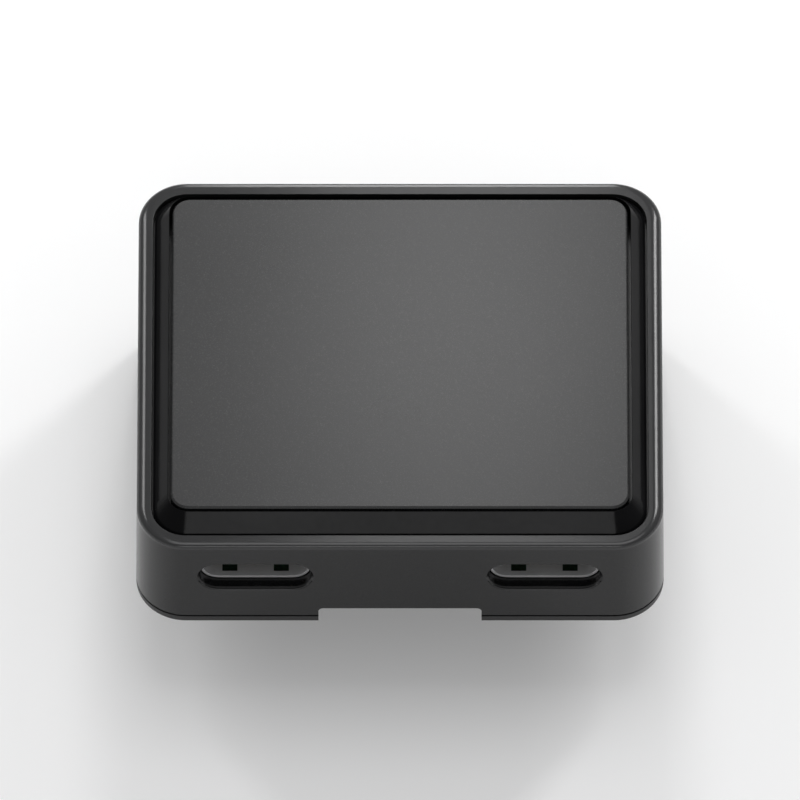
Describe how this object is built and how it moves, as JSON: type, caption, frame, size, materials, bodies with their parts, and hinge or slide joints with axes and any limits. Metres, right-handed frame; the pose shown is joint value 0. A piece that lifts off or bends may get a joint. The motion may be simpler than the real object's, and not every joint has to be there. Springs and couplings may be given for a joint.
{
  "type": "usb-c splitter adapter",
  "caption": "Small dark adapter that hooks over the top edge of a flat handheld device and splits its charging socket into sockets that face down behind it.",
  "frame": {"origin": "under the middle of the part, level with the end face of the hook", "axes": "+X across both sockets, +Y from the socket face to the top, +Z out of the front panel"},
  "size_m": [0.0422, 0.0362, 0.0208],
  "materials": {
    "housing_front": "satin",
    "housing_rear": "satin",
    "housing_hook": "satin",
    "housing_cap": "satin",
    "bezel": "gloss",
    "panel": "gloss",
    "tape": "matt",
    "port_shell": "bright",
    "port_plastic": "matt",
    "contacts": "gold plated",
    "midplate": "bright",
    "board": "lacquered",
    "chip": "matt",
    "coil": "matt",
    "capacitor": "matt",
    "resistor": "matt",
    "plug_shell": "bright",
    "plug_plastic": "matt",
    "spring": "bright",
    "moulding": "matt",
    "ribbon": "satin",
    "link_socket": "matt"
  },
  "bodies": {
    "root": {"front_housing": "housing_front", "rear_cover": "housing_rear", "hook_housing": "housing_hook", "hook_cap": "housing_cap", "bezel_frame": "bezel", "front_panel": "panel", "panel_tape": "tape", "left_port_shell": "port_shell", "left_port_tongue": "port_plastic", "left_port_contacts": "contacts", "left_port_midplate": "midplate", "right_port_shell": "port_shell", "right_port_tongue": "port_plastic", "right_port_contacts": "contacts", "right_port_midplate": "midplate", "main_board": "board", "controller_chip": "chip", "power_switch": "chip", "power_coil": "coil", "capacitors": "capacitor", "resistors": "resistor", "plug_shell": "plug_shell", "plug_insulator": "plug_plastic", "plug_contacts": "contacts", "plug_springs": "spring", "plug_moulding": "moulding", "plug_board": "board", "link_ribbon": "ribbon", "lower_link_socket": "link_socket", "upper_link_socket": "link_socket"}
  },
  "joints": []
}
